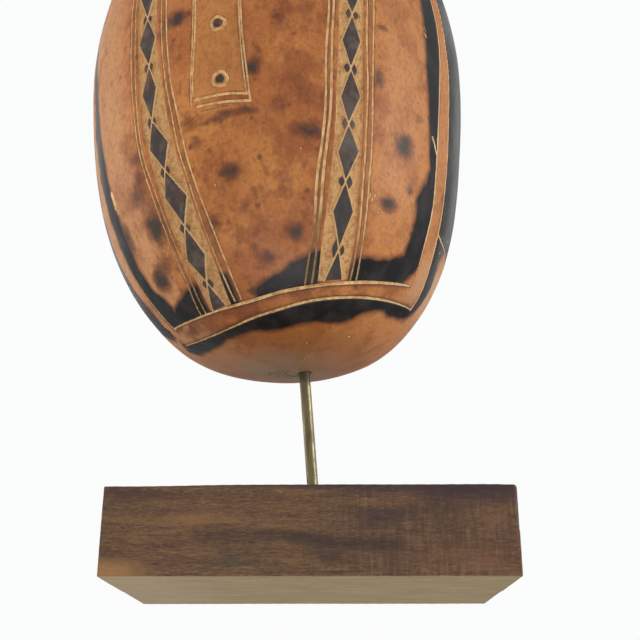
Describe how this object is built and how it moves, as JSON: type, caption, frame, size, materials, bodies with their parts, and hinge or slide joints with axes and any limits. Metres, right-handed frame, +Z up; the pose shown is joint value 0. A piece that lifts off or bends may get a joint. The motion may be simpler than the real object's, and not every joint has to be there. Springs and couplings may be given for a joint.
{
  "type": "guiro",
  "caption": "Engraved gourd rasp with front notches and back finger holes, hung on a thin leaning rod in a wooden block; the gourd turns on the rod and lifts off.",
  "frame": {"origin": "centre of the block's underside", "axes": "+Z up, +X to the object's right seen from the front, -Y to the front, where the notches are"},
  "size_m": [0.1379, 0.134, 0.4308],
  "materials": {
    "block_wood": "oiled, open grain",
    "rod_brass": "tarnished satin",
    "gourd_skin": "waxed satin with scorched and engraved decoration",
    "stem_wood": "dry, fibrous",
    "seat_wood": "bare"
  },
  "bodies": {
    "base": {"base_block": "block_wood"},
    "rod": {"support_rod": "rod_brass"},
    "gourd": {"gourd_shell": "gourd_skin", "gourd_stem": "stem_wood", "rod_seat": "seat_wood"}
  },
  "joints": [
    {"name": "rod_swivel", "type": "hinge", "parent": "base", "child": "rod", "pos_m": [0.00075, 0, 0.0252], "axis": [-0.0755, 0, 0.9971], "continuous": true},
    {"name": "gourd_lift", "type": "slide", "parent": "rod", "child": "gourd", "axis": [-0.0755, 0, 0.9971], "range_m": [0, 0.32]}
  ]
}
